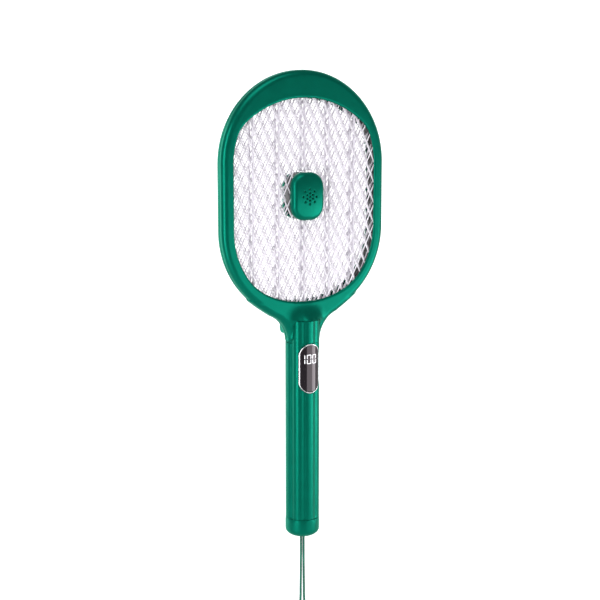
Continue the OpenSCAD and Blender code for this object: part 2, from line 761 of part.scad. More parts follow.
head_front_frame();
head_back_frame();
front_spacer();
middle_spacer();
back_spacer();
front_grid();
front_live_grid();
back_live_grid();
back_grid();
front_ribs();
back_ribs();
head_screws();
lamp_front_cap();
lamp_window();
lamp_base();
lamp_board();
uv_leds();
lamp_back_cap();
lamp_screws();
lamp_leads();
handle_front_shell();
handle_back_shell();
end_cap();
handle_screws();
display_bezel();
display_lens();
display_digits();
display_board();
main_board();
transformer();
hv_capacitor();
hv_diodes();
controller_chip();
head_leads();
trigger();
trigger_pin();
trigger_spring();
push_switch();
switch_plunger();
mode_slider();
slide_switch();
slide_switch_lever();
battery_cell();
battery_contacts();
battery_leads();
charge_board();
charge_socket();
lanyard_crimp();
lanyard();
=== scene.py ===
import math

import bpy
import numpy as np
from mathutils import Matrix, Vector


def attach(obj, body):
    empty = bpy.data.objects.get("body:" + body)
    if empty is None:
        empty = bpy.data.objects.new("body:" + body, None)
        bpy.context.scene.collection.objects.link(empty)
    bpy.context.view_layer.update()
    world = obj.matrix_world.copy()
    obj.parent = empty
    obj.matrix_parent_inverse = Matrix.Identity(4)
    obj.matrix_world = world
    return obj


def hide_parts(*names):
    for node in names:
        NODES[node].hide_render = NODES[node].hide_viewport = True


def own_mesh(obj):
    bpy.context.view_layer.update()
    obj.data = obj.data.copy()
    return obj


# Looks of the racket bug zapper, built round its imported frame. Shapes are worked out
# in millimetres, as in the part's source, and turned into metres when a mesh is made.

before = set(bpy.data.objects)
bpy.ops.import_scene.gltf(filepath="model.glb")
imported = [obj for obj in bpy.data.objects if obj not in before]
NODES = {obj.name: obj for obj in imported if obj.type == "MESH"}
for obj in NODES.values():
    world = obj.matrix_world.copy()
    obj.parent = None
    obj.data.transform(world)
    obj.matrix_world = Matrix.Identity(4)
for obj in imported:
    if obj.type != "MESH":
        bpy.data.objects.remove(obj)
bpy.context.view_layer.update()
MM = 0.001

# ---------------------------------------------------------------- sizes, in millimetres
HEAD_R, HALF_D, RIM_IN = 90.25, 8.75, 78.25      # ring: outer radius, half depth, inner radius
LOW_Z, HIGH_Z = 197.6, 261.6                     # centres of the ring's two half circles
RIM_ROUND, LIP_R = 6.5, 1.9                      # roundings of the ring's outer and inner edge
POCKET_R, POCKET_Y = 83.25, 6.55                 # groove in the ring that holds the grids
LAMP_Z = 229.6
GRIP_R, BORE_R = 17.5, 13.8                      # handle's outside and the space inside it
FLUTE_C, FLUTE_R, FLUTE_STEP = 9.0, 8.5, math.pi / 4  # flutes: centre, radius, angle between
FLUTES_LOW, FLUTES_HIGH = (-103.5, 8.0), (104.0, 9.0)  # where they fade: start and length
FILLET_X, FILLET_Z, FILLET_R = 49.0, 83.75, 31.5  # curve between the handle and the ring
WEB_MEET, WEB_SINK = math.radians(55), 0.5       # where the web's straight line meets the ring
WEB_LOW, WEB_HIGH = 86.0, 128.0                  # lowest and highest z of the web's outline
SEAM_Z, NECK_LOW, NECK_TOP = 106.5, 84.0, 120.5  # front seam, head's foot, end of the core
NECK_THIN, NECK_RISE, NECK_CURVE = 6.0, 17.0, 1.6  # core's last half depth, its ramp, its bend
TONGUE = math.radians(66.8)                      # half angle of the front shell's tongue
LIP_LOW_R, LIP_LOW_Z = 100.0, 124.85             # arc of the ring's lower lip and its lowest point
CAP_TOP, GRIP_END, DOME_H, DOME_FLAT = -98.5, -118.0, 8.0, 7.0
DISPLAY_Z, DISPLAY_W, DISPLAY_H, LENS_R = 58.6, 23.0, 50.0, 17.7
DIGITS_Z, DIGIT_W, DIGIT_H, DIGIT_T = 68.3, 4.8, 9.5, 0.9
NUMERALS = ((-8.2, 1), (-1.9, 0), (4.1, 0))      # place of each numeral, and which it is
TRIGGER_Z, TRIGGER_SLOT = 98.45, (19.6, 24.1)    # slot in the back of the neck
CAP_BORE_R, CAP_FLOOR, CORD_HOLE_R = 11.6, 4.6, 3.4  # end cap: room, wall below it, hole
HOLLOW_TOP = 105.0                               # upper end of the space inside the neck
SPLIT, SEAM, EDGE = 0.05, 0.08, 0.4              # gaps between pieces, rounding of a cut edge
SLIDER_Z, SOCKET_Z = 24.0, -82.2
HANDLE_SCREW_ZS = (-73.5, 4.6, 81.0)
RING_SCREWS = [(s * x, z) for s in (-1, 1) for x, z in
               ((86.25, 201.6), (86.25, 257.6), (24, 111), (53.1, 329.6), (53.1, 129.6))]
LAMP_SCREWS = [(-10, LAMP_Z), (10, LAMP_Z)]

# ---------------------------------------------------------------- camera
AIM = Vector((0, 0, 0.1255))
AZIMUTH, ELEVATION, DISTANCE = math.radians(-29), math.radians(8.9), 1.2
FOCAL, SENSOR, SHIFT = 72, 36, -0.0038
towards_camera = Vector((math.sin(AZIMUTH) * math.cos(ELEVATION),
                         -math.cos(AZIMUTH) * math.cos(ELEVATION), math.sin(ELEVATION)))
camera = bpy.data.objects.new("camera", bpy.data.cameras.new("camera"))
bpy.context.collection.objects.link(camera)
camera.location = AIM + towards_camera * DISTANCE
camera.rotation_mode = "QUATERNION"
camera.rotation_quaternion = (-towards_camera).to_track_quat("-Z", "Y")
camera.data.lens, camera.data.sensor_width = FOCAL, SENSOR
camera.data.shift_x = SHIFT
bpy.context.scene.camera = camera


# ---------------------------------------------------------------- materials
def material(name, colour, rough, metallic=0.0, coat=0.0, grain=(900, 0.04), mottle=0.06,
             streaks=0.0, glow=0.0, clear=0.0, sheen=(1, 1, 1), gloss=0.5):
    """Principled material whose colour, roughness and surface grain come from noise."""
    made = bpy.data.materials.new(name)
    made.use_nodes = True
    tree = made.node_tree
    shader = tree.nodes["Principled BSDF"]
    shader.inputs["Metallic"].default_value = metallic
    shader.inputs["Coat Weight"].default_value = coat
    shader.inputs["Coat Roughness"].default_value = 0.08
    shader.inputs["Transmission Weight"].default_value = clear
    shader.inputs["Specular Tint"].default_value = (*sheen, 1)
    shader.inputs["Specular IOR Level"].default_value = gloss
    if glow:
        shader.inputs["Emission Color"].default_value = (*colour, 1)
        shader.inputs["Emission Strength"].default_value = glow
    place = tree.nodes.new("ShaderNodeTexCoord").outputs["Object"]

    def noise(scale, detail, stretch=(1, 1, 1)):
        mapping = tree.nodes.new("ShaderNodeMapping")
        mapping.inputs["Scale"].default_value = stretch
        tree.links.new(place, mapping.inputs["Vector"])
        texture = tree.nodes.new("ShaderNodeTexNoise")
        texture.inputs["Scale"].default_value = scale
        texture.inputs["Detail"].default_value = detail
        tree.links.new(mapping.outputs["Vector"], texture.inputs["Vector"])
        return texture.outputs["Fac"]

    ramp = tree.nodes.new("ShaderNodeValToRGB")
    ramp.color_ramp.elements[0].position = 0.3
    ramp.color_ramp.elements[1].position = 0.7
    ramp.color_ramp.elements[0].color = (*[c * (1 - mottle) for c in colour], 1)
    ramp.color_ramp.elements[1].color = (*[min(1, c * (1 + mottle)) for c in colour], 1)
    tree.links.new(noise(60, 4), ramp.inputs["Fac"])
    tree.links.new(ramp.outputs["Color"], shader.inputs["Base Color"])

    spread = tree.nodes.new("ShaderNodeMapRange")
    spread.inputs["To Min"].default_value = max(0.02, rough * 0.82)
    spread.inputs["To Max"].default_value = min(1.0, rough * 1.2)
    tree.links.new(noise(240, 3, (1, 1, 0.15) if streaks else (1, 1, 1)), spread.inputs["Value"])
    tree.links.new(spread.outputs["Result"], shader.inputs["Roughness"])

    bump = tree.nodes.new("ShaderNodeBump")
    bump.inputs["Strength"].default_value = grain[1]
    bump.inputs["Distance"].default_value = 0.0004
    tree.links.new(noise(grain[0], 2, (1, 1, 1 - streaks)), bump.inputs["Height"])
    tree.links.new(bump.outputs["Normal"], shader.inputs["Normal"])
    return made


GREEN = (0.0012, 0.130, 0.084)
LOOKS = {
    "green_plastic": material("green_plastic", GREEN, 0.32, metallic=0.6,
                              grain=(1400, 0.05), sheen=(0.10, 0.95, 0.75), gloss=0.15),
    "dark_plastic": material("dark_plastic", (0.022, 0.022, 0.025), 0.42, grain=(1600, 0.12)),
    "grid_steel": material("grid_steel", (0.74, 0.71, 0.76), 0.34, metallic=0.15,
                           grain=(1200, 0.08), mottle=0.05),
    "white_plastic": material("white_plastic", (0.70, 0.67, 0.73), 0.38, mottle=0.03),
    "screw_steel": material("screw_steel", (0.55, 0.56, 0.58), 0.26, metallic=1.0,
                            grain=(2500, 0.08), streaks=0.7),
    "circuit_board": material("circuit_board", (0.02, 0.10, 0.05), 0.4, mottle=0.35),
    "wire_insulation": material("wire_insulation", (0.45, 0.04, 0.03), 0.42),
    "smoked_window": material("smoked_window", (0.016, 0.013, 0.018), 0.3, gloss=0.3),
    "led_resin": material("led_resin", (0.55, 0.50, 0.75), 0.1, clear=0.5),
    "bezel_chrome": material("bezel_chrome", (0.80, 0.81, 0.83), 0.12, metallic=1.0,
                             grain=(2200, 0.03), mottle=0.03, streaks=0.5),
    "lens_black": material("lens_black", (0.006, 0.004, 0.006), 0.06, grain=(300, 0.01),
                           sheen=(1.0, 0.88, 0.95)),
    "digit_light": material("digit_light", (0.95, 0.95, 1.0), 0.4, glow=0.4, mottle=0.04),
    "copper_winding": material("copper_winding", (0.60, 0.28, 0.14), 0.3, metallic=0.9,
                               grain=(3000, 0.5), streaks=0.9),
    "capacitor_film": material("capacitor_film", (0.30, 0.05, 0.03), 0.25, coat=0.3),
    "battery_wrap": material("battery_wrap", (0.04, 0.14, 0.40), 0.3, coat=0.2),
    "cord_braid": material("cord_braid", (0.006, 0.125, 0.080), 0.62, grain=(2600, 0.5),
                           mottle=0.3),
}


# ---------------------------------------------------------------- making pieces
def new_piece(name, points, faces, normals=None):
    """Object from points in millimetres, shaded smooth, with normals of its own if given."""
    mesh = bpy.data.meshes.new(name)
    mesh.from_pydata((np.asarray(points) * MM).tolist(), [], faces)
    mesh.shade_smooth()
    if normals is not None:
        mesh.normals_split_custom_set_from_vertices(normals.tolist())
    piece = bpy.data.objects.new(name, mesh)
    bpy.context.collection.objects.link(piece)
    return piece


def tube_piece(name, rings):
    """Closed tube through rings of points, one ring after another."""
    n, sides = rings.shape[:2]
    i, k = np.meshgrid(np.arange(n - 1), np.arange(sides), indexing="ij")
    j = (k + 1) % sides
    faces = np.stack([i * sides + k, (i + 1) * sides + k, (i + 1) * sides + j, i * sides + j],
                     axis=-1).reshape(-1, 4).tolist()
    last = (n - 1) * sides
    faces += [list(range(sides)), [last + v for v in reversed(range(sides))]]
    return new_piece(name, rings.reshape(-1, 3), faces)


def finished(piece, slot, *nodes, body="root"):
    """Gives a piece its material and its body, and lets it stand for CAD nodes."""
    piece.data.materials.clear()
    piece.data.materials.append(LOOKS[slot])
    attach(piece, body)
    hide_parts(*nodes)
    return piece


def gradient(field, p):
    """Slope of a field at points p."""
    h = 0.02
    return np.stack([(field(*(p + step).T) - field(*(p - step).T)) / (2 * h)
                     for step in np.eye(3) * h], axis=1)


def net(name, field, low, high, cell):
    """Closed smooth mesh of the surface where field(x, y, z) is zero: a surface net on a
    grid of cells, whose points are then moved on to the surface."""
    low = np.array(low, float)
    count = np.ceil((np.array(high) - low) / cell).astype(int) + 1
    axes = [low[i] + cell * np.arange(count[i]) for i in range(3)]
    value = field(*np.meshgrid(*axes, indexing="ij"))
    inside = value < 0
    n = count - 1
    total = sum(inside[i:n[0] + i, j:n[1] + j, k:n[2] + k].astype(int)
                for i in (0, 1) for j in (0, 1) for k in (0, 1))
    active = (total > 0) & (total < 8)
    index = np.full(active.shape, -1)
    index[active] = np.arange(active.sum())
    cells = np.argwhere(active)
    middle, hits = np.zeros((len(cells), 3)), np.zeros((len(cells), 1))
    unit = np.eye(3, dtype=int)
    for a in range(3):
        for du in (0, 1):
            for dv in (0, 1):
                start = cells + du * unit[(a + 1) % 3] + dv * unit[(a + 2) % 3]
                v0, v1 = value[tuple(start.T)], value[tuple((start + unit[a]).T)]
                crossed = (v0 < 0) != (v1 < 0)
                t = np.where(crossed, v0 / np.where(crossed, v0 - v1, 1), 0)
                middle += (start + t[:, None] * unit[a]) * crossed[:, None]
                hits += crossed[:, None]
    points = low + cell * middle / hits
    faces = []
    for a in range(3):
        u, v = unit[(a + 1) % 3], unit[(a + 2) % 3]
        first = np.moveaxis(inside, a, 0)[:-1]
        second = np.moveaxis(inside, a, 0)[1:]
        for starts_inside in (True, False):
            flips = np.moveaxis((first == starts_inside) & (second != starts_inside), 0, a)
            e = np.argwhere(flips)
            e = e[(e[:, (a + 1) % 3] > 0) & (e[:, (a + 2) % 3] > 0)
                  & (e[:, (a + 1) % 3] < n[(a + 1) % 3]) & (e[:, (a + 2) % 3] < n[(a + 2) % 3])]
            quad = [index[tuple((e - o).T)] for o in (0 * u, u, u + v, v)]
            faces.append(np.stack(quad if starts_inside else quad[::-1], axis=1))
    for _ in range(4):
        slope = gradient(field, points)
        step = slope * (field(*points.T) / np.maximum((slope ** 2).sum(1), 0.05))[:, None]
        size = np.linalg.norm(step, axis=1, keepdims=True)
        points -= step * np.minimum(1, 0.5 * cell / np.maximum(size, 1e-9))
    slope = gradient(field, points)
    slope /= np.maximum(np.linalg.norm(slope, axis=1, keepdims=True), 1e-9)
    return new_piece(name, points, np.concatenate(faces).tolist(), slope)


def softened(node, width, segments=2):
    """Copy of a CAD node with its sharp edges rounded."""
    source = NODES[node].data
    points = np.empty(len(source.vertices) * 3)
    source.vertices.foreach_get("co", points)
    points = points.reshape(-1, 3)
    _, first, same = np.unique(np.round(points, 6), axis=0, return_index=True,
                               return_inverse=True)
    same = same.ravel()
    faces = [[int(same[v]) for v in p.vertices] for p in source.polygons]
    faces = [f for f in faces if len(set(f)) == len(f)]
    piece = new_piece(node + "_soft", points[first] / MM, faces)
    bevel = piece.modifiers.new("bevel", "BEVEL")
    bevel.width, bevel.segments = width * MM, segments
    bevel.limit_method, bevel.angle_limit = "ANGLE", math.radians(32)
    bevel.harden_normals = True
    seen = piece.evaluated_get(bpy.context.evaluated_depsgraph_get())
    piece.data = bpy.data.meshes.new_from_object(seen)
    piece.modifiers.clear()
    return piece


# ---------------------------------------------------------------- fields and outlines
def smooth_min(a, b, k):
    h = np.clip(0.5 + 0.5 * (b - a) / k, 0, 1)
    return b + (a - b) * h - k * h * (1 - h)


def smooth_max(a, b, k):
    return -smooth_min(-a, -b, k)


def cut(a, b, k=0.5):
    """Field a without field b, with the edge between them rounded."""
    return smooth_max(a, -b, k)


def round_max(a, b, r):
    """Where both fields meet, their common edge has radius r."""
    return np.minimum(np.maximum(a, b), -r) + np.hypot(np.maximum(a + r, 0),
                                                       np.maximum(b + r, 0))


def ease(t):
    t = np.clip(t, 0, 1)
    return t * t * (3 - 2 * t)


def pill(x, z, width, height, r):
    """Distance to a rectangle with rounded corners, middle at the origin."""
    qx, qz = np.abs(x) - width / 2 + r, np.abs(z) - height / 2 + r
    return np.minimum(np.maximum(qx, qz), 0) + np.hypot(np.maximum(qx, 0),
                                                        np.maximum(qz, 0)) - r


def rods(x, z, places, r):
    return np.min([np.hypot(x - px, z - pz) for px, pz in places], axis=0) - r


def fluted(x, y, z):
    """Handle section of eight flutes, which fade out at both ends of the handle."""
    angle = np.arctan2(x, -y)
    angle = angle - np.round(angle / FLUTE_STEP) * FLUTE_STEP
    rho = np.hypot(x, y)
    u, v = rho * np.abs(np.sin(angle)), rho * np.cos(angle)
    own = np.hypot(u, v - FLUTE_C) - FLUTE_R
    other = np.hypot(u - FLUTE_C * math.sin(FLUTE_STEP),
                     v - FLUTE_C * math.cos(FLUTE_STEP)) - FLUTE_R
    lobes = smooth_min(own, other, 1.0) + 0.03
    plain = rho - GRIP_R
    low = ease((z - FLUTES_LOW[0]) / FLUTES_LOW[1])
    high = 1 - ease((z - FLUTES_HIGH[0]) / FLUTES_HIGH[1])
    return plain + (lobes - plain) * low * high


def web_outline(x, z):
    """Outline of the web: two curves that lead from the handle out to the ring."""
    a = np.abs(x)
    reach = math.hypot(FILLET_X, LOW_Z - FILLET_Z)
    out = np.array((-FILLET_X, LOW_Z - FILLET_Z)) / reach
    end = np.array((FILLET_X, FILLET_Z)) + out * FILLET_R
    meet = np.array((math.cos(WEB_MEET) * (HEAD_R - WEB_SINK),
                     LOW_Z - math.sin(WEB_MEET) * (HEAD_R - WEB_SINK)))
    along = (meet - end) / np.linalg.norm(meet - end)
    curve = FILLET_R - np.hypot(a - FILLET_X, z - FILLET_Z)
    line = (a - end[0]) * along[1] - (z - end[1]) * along[0]
    past = (a - FILLET_X) * out[1] - (z - FILLET_Z) * out[0] > 0
    return np.maximum(np.where(past, line, curve), np.maximum(WEB_LOW - z, z - WEB_HIGH))


def head_plate(x, y, z):
    """Ring and web as one rounded plate, without the opening and the grids' groove."""
    r = np.hypot(x, z - np.clip(z, LOW_Z, HIGH_Z))
    outer = smooth_min(r - HEAD_R, web_outline(x, z), 5.0)
    opening = smooth_max(r - RIM_IN, np.hypot(x, z - LIP_LOW_Z - LIP_LOW_R) - LIP_LOW_R, 3.0)
    plate = round_max(outer, np.abs(y) - HALF_D, RIM_ROUND)
    plate = round_max(plate, -opening, LIP_R)
    return cut(plate, np.maximum(r - POCKET_R, np.abs(y) - POCKET_Y), EDGE)


def neck_core(x, y, z):
    """Upper end of the handle, whose depth narrows until it sinks into the web."""
    t = np.clip((z - SEAM_Z) / NECK_RISE, 0, 1)
    depth = NECK_THIN + (GRIP_R - NECK_THIN) * (1 - t) ** NECK_CURVE
    core = fluted(x, y * GRIP_R / depth, z) * np.sqrt(depth / GRIP_R)
    return smooth_max(core, z - NECK_TOP, 2.0)


def body(x, y, z):
    """The green body from the handle to the ring, before it is parted into pieces."""
    blend = 2.0 + 6.0 * ease((z - 100) / 9)
    return smooth_min(head_plate(x, y, z), neck_core(x, y, z), blend)


def tongue(x, y, z, grow):
    """Room that the front shell's tongue takes in the neck."""
    sector = np.abs(x) * math.cos(TONGUE) + y * math.sin(TONGUE)
    return smooth_max(smooth_max(sector - grow, z - SEAM_Z - grow, 1.2), NECK_LOW - 3 - z, 0.5)


def hollow(x, y, z):
    """Space inside the neck."""
    return smooth_max(np.hypot(x, y) - BORE_R, z - HOLLOW_TOP, 1.0)


# ---------------------------------------------------------------- head
def head_front(x, y, z):
    shape = smooth_max(body(x, y, z), y + SPLIT, 0.7)
    shape = smooth_max(shape, NECK_LOW + SPLIT - z, 0.2)
    shape = cut(shape, np.maximum(tongue(x, y, z, SEAM), fluted(x, y, z) - SEAM), EDGE)
    return cut(shape, hollow(x, y, z), EDGE)


def head_back(x, y, z):
    shape = smooth_max(body(x, y, z), SPLIT - y, 0.7)
    shape = smooth_max(shape, NECK_LOW + SPLIT - z, 0.2)
    shape = cut(shape, hollow(x, y, z), EDGE)
    slot = np.maximum(pill(x, z - TRIGGER_Z, *TRIGGER_SLOT, 1.2), 5 - y)
    shape = cut(shape, slot, 0.8)
    return cut(shape, np.maximum(rods(x, z, RING_SCREWS, 2.2), 4.4 - y), 0.5)


finished(net("head_front", head_front, (-93, -19, 82), (93, 1, 354), 0.95),
         "green_plastic", "head_front_frame")
finished(net("head_back", head_back, (-93, -1, 82), (93, 19, 354), 0.95),
         "green_plastic", "head_back_frame")
for grid in ("front_grid", "front_live_grid", "back_live_grid", "back_grid"):
    finished(softened(grid, 0.22), "grid_steel", grid)
for ribs in ("front_ribs", "back_ribs"):
    finished(softened(ribs, 0.3), "white_plastic", ribs)
# The spacers are real parts, but their near-black colour is partly painted shade: it darkens the
# ring's inner wall, which lies in shade between the grids.
for wall in ("front_spacer", "middle_spacer", "back_spacer"):
    finished(softened(wall, 0.3), "dark_plastic", wall)


# ---------------------------------------------------------------- lamp
LAMP_W, LAMP_H, LAMP_ROUND, LAMP_CROWN = 35.0, 47.0, 14.0, 4.6
LAMP_FRONT, LAMP_FOOT, LAMP_BACK = -16.2, -6.8, 11.4
LAMP_DOME = 120.0                                # radius of the lamp cap's slightly domed face
VENT_R = 0.85
VENTS = [(0, 0)] + [(r * math.sin(a), r * math.cos(a)) for r, n in ((3.6, 6), (7.3, 8))
                    for a in (2 * math.pi * i / n for i in range(n))]


def lamp_front(x, y, z):
    z = z - LAMP_Z
    face = LAMP_FRONT - y + (x ** 2 + z ** 2) / (2 * LAMP_DOME)
    shape = round_max(pill(x, z, LAMP_W, LAMP_H, LAMP_ROUND), face, LAMP_CROWN)
    shape = smooth_max(shape, y - LAMP_FOOT, 0.8)
    room = round_max(pill(x, z, LAMP_W - 3.6, LAMP_H - 3.6, LAMP_ROUND - 1.8),
                     LAMP_FRONT + 2 - y, LAMP_CROWN)
    shape = cut(shape, room, EDGE)
    sink = VENT_R + np.clip(face + 0.45, 0, 0.6) * 0.9
    return cut(shape, rods(x, z, VENTS, sink), 0.35)


def lamp_back(x, y, z):
    shape = round_max(pill(x, z - LAMP_Z, LAMP_W - 1, LAMP_H - 1, LAMP_ROUND - 0.5),
                      y - LAMP_BACK, 1.9)
    shape = smooth_max(shape, 6.8 - y, 0.6)
    groove = np.abs(pill(x, z - LAMP_Z, LAMP_W - 8, LAMP_H - 8, LAMP_ROUND - 4)) - 0.4
    shape = cut(shape, np.maximum(groove, LAMP_BACK - 0.5 - y), EDGE)
    return cut(shape, np.maximum(rods(x, z, LAMP_SCREWS, 2.3), 9.6 - y), EDGE)


finished(net("lamp_cap", lamp_front, (-18.5, -17, 205), (18.5, -6, 254), 0.42),
         "green_plastic", "lamp_front_cap")
finished(net("lamp_rear", lamp_back, (-18, 6, 205), (18, 12, 254), 0.5),
         "green_plastic", "lamp_back_cap")
finished(softened("lamp_window", 0.5, 3), "smoked_window", "lamp_window")
finished(softened("lamp_base", 0.4), "dark_plastic", "lamp_base")


# ---------------------------------------------------------------- handle
def front_shell(x, y, z):
    shape = smooth_max(fluted(x, y, z), y + SPLIT, 0.5)
    room = np.where(z > NECK_LOW, tongue(x, y, z, -SPLIT), z - NECK_LOW - SPLIT)
    shape = smooth_max(shape, room, EDGE)
    shape = smooth_max(shape, CAP_TOP + 0.1 - z, 0.5)
    shape = cut(shape, np.hypot(x, y) - BORE_R, EDGE)
    window = np.maximum(pill(x, z - DISPLAY_Z, DISPLAY_W + 0.2, DISPLAY_H + 0.2,
                             DISPLAY_W / 2 + 0.1), GRIP_R - 1.85 - np.hypot(x, y))
    return cut(shape, np.maximum(window, y), 0.3)


def back_shell(x, y, z):
    shape = smooth_max(fluted(x, y, z), SPLIT - y, 0.5)
    shape = smooth_max(shape, z - NECK_LOW + SPLIT, 0.5)
    shape = smooth_max(shape, CAP_TOP + 0.1 - z, 0.5)
    shape = cut(shape, np.hypot(x, y) - BORE_R, EDGE)
    shape = cut(shape, np.maximum(rods(x, z, [(0, s) for s in HANDLE_SCREW_ZS], 2.3),
                                  14.5 - y), 0.5)
    slot = pill(x, z - SLIDER_Z - 3, 4.2, 10.6, 0.8)
    shape = cut(shape, np.maximum(slot, 5 - y), EDGE)
    return cut(shape, np.maximum(pill(x, z - SOCKET_Z, 9.5, 3.8, 1.9), 5 - y), 0.5)


def end_cap(x, y, z):
    rho = np.hypot(x, y)
    dome = (np.hypot(np.maximum(rho - DOME_FLAT, 0) / (GRIP_R - DOME_FLAT + 0.1),
                     np.maximum(GRIP_END + DOME_H - z, 0) / DOME_H) - 1) * DOME_H
    shape = smooth_max(fluted(x, y, z), dome, 0.6)
    shape = smooth_max(shape, z - CAP_TOP, 0.5)
    shape = cut(shape, np.maximum(rho - CAP_BORE_R, GRIP_END + CAP_FLOOR - z), 0.5)
    return cut(shape, rho - CORD_HOLE_R, 1.2)


finished(net("grip_front", front_shell, (-19, -19, -100), (19, 1, 108), 0.66),
         "green_plastic", "handle_front_shell")
finished(net("grip_back", back_shell, (-19, -1, -100), (19, 19, 86), 0.66),
         "green_plastic", "handle_back_shell")
finished(net("grip_end", end_cap, (-19, -19, -119), (19, 19, -97), 0.62),
         "green_plastic", "end_cap")


# ---------------------------------------------------------------- display
def sleeve(x, y, z, inner, outer, outline, edge):
    """Part of a sleeve round the handle's axis inside an outline at the front."""
    rho = np.hypot(x, y)
    return smooth_max(round_max(outline, rho - outer, edge), np.maximum(inner - rho, y), 0.3)


def bezel(x, y, z):
    out = pill(x, z - DISPLAY_Z, DISPLAY_W - 0.1, DISPLAY_H - 0.1, DISPLAY_W / 2 - 0.05)
    inner = pill(x, z - DISPLAY_Z, DISPLAY_W - 2, DISPLAY_H - 2, DISPLAY_W / 2 - 1)
    return sleeve(x, y, z, GRIP_R - 1.8, LENS_R + 0.3, round_max(out, -inner, 0.1), 0.42)


def lens(x, y, z):
    outline = pill(x, z - DISPLAY_Z, DISPLAY_W - 2.1, DISPLAY_H - 2.1, DISPLAY_W / 2 - 1.05)
    return sleeve(x, y, z, GRIP_R - 1.5, LENS_R, outline, 0.35)


def digit_bars(x, z, number):
    """Bars of a seven-bar numeral, 0 or 1, with pointed ends."""
    bars = [(DIGIT_W / 2 - DIGIT_T / 2, s * DIGIT_H / 4, 0) for s in (-1, 1)]
    if number == 0:
        bars += [(-DIGIT_W / 2 + DIGIT_T / 2, s * DIGIT_H / 4, 0) for s in (-1, 1)]
        bars += [(0, s * (DIGIT_H - DIGIT_T) / 2, 1) for s in (-1, 1)]
    fields = []
    for bx, bz, flat in bars:
        u, v = (x - bx, z - bz) if flat else (z - bz, x - bx)
        reach = (DIGIT_W if flat else DIGIT_H / 2) / 2 - 0.18
        fields.append(np.maximum((np.abs(u) + np.abs(v) - reach) * 0.75,
                                 np.abs(v) - DIGIT_T / 2))
    return np.min(fields, axis=0)


def digits(x, y, z):
    outline = np.min([digit_bars(x - at, z - DIGITS_Z, number)
                      for at, number in NUMERALS], axis=0)
    return sleeve(x, y, z, LENS_R - 0.3, LENS_R + 0.03, outline, 0.02)


finished(net("bezel", bezel, (-12.5, -18.6, 32), (12.5, -10, 85), 0.3),
         "bezel_chrome", "display_bezel")
finished(net("lens", lens, (-12, -18.4, 33), (12, -11, 84.5), 0.4),
         "lens_black", "display_lens")
finished(net("numerals", digits, (-7.5, -18.2, 62.5), (7.5, -15, 74), 0.16),
         "digit_light", "display_digits")


# ---------------------------------------------------------------- trigger, slider, screws
SPRING_R, WIRE_R, SPRING_Y, SPRING_TURNS = 2.8, 0.25, (5.5, 11.1), 4
PRESS_Z = 91.5                                   # height of the push switch and its spring
TURN_STEPS, WIRE_SIDES = 48, 12
finished(softened("trigger", 0.9, 4), "green_plastic", "trigger", body="trigger_body")
finished(softened("mode_slider", 0.35, 3), "green_plastic", "mode_slider", body="slider_body")
finished(softened("switch_plunger", 0.5, 3), "white_plastic", "switch_plunger",
         body="plunger_body")


def coil_spring():
    """Round wire helix between the push switch and the trigger."""
    turn = 2 * math.pi * np.linspace(0, SPRING_TURNS, TURN_STEPS * SPRING_TURNS)
    rise = np.linspace(*SPRING_Y, len(turn))
    line = np.stack([SPRING_R * np.cos(turn), rise, PRESS_Z + SPRING_R * np.sin(turn)], 1)
    out = np.stack([np.cos(turn), 0 * turn, np.sin(turn)], 1)
    up = np.array((0, 1, 0))
    around = 2 * math.pi * np.arange(WIRE_SIDES) / WIRE_SIDES
    points = line[:, None] + WIRE_R * (np.cos(around)[:, None] * out[:, None]
                                       + np.sin(around)[:, None] * up)
    return tube_piece("spring_coil", points)


spring = finished(coil_spring(), "screw_steel", "trigger_spring")
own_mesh(spring)


CROSS_HALF, CROSS_REACH, CROSS_DEPTH = 0.32, 1.25, 0.9
STEM_R, THREAD_PITCH, THREAD_DEPTH = 0.9, 0.9, 0.12


def screws(name, places, seat, head_r, head_h, shank, node):
    """Pan head screws along Y with a cross in each head."""
    top = seat + head_h

    def screw(x, y, z):
        head = smooth_max(np.maximum(np.hypot(x, z) - head_r, seat - y),
                          np.hypot(np.hypot(x, z), y - top + 2.6 * head_r) - 2.6 * head_r, 0.5)
        arms = np.minimum(np.maximum(np.abs(x) - CROSS_HALF, np.abs(z) - CROSS_REACH),
                          np.maximum(np.abs(z) - CROSS_HALF, np.abs(x) - CROSS_REACH))
        head = cut(head, np.maximum(arms, top - CROSS_DEPTH - y), 0.12)
        thread = THREAD_DEPTH * np.sin(y * 2 * math.pi / THREAD_PITCH)
        stem = np.maximum(np.hypot(x, z) - STEM_R + thread,
                          np.maximum(shank - y, y - seat - 0.2))
        return smooth_min(head, stem, 0.2)

    first = net(name, screw, (-2.4, shank - 0.5, -2.4), (2.4, seat + head_h + 0.5, 2.4), 0.2)
    points = np.empty(len(first.data.vertices) * 3)
    first.data.vertices.foreach_get("co", points)
    points = points.reshape(-1, 3) / MM
    faces = np.array([p.vertices[:] for p in first.data.polygons])
    bpy.data.objects.remove(first)
    every = np.concatenate([points + (px, 0, pz) for px, pz in places])
    quads = np.concatenate([faces + i * len(points) for i in range(len(places))])
    finished(new_piece(name, every, quads.tolist()), "screw_steel", node)


screws("ring_screw_set", RING_SCREWS, 4.45, 2.0, 1.65, -1, "head_screws")
screws("grip_screw_set", [(0, z) for z in HANDLE_SCREW_ZS], 14.55, 2.1, 1.85, 6,
       "handle_screws")
screws("lamp_screw_set", LAMP_SCREWS, 9.65, 2.1, 1.35, 3, "lamp_screws")

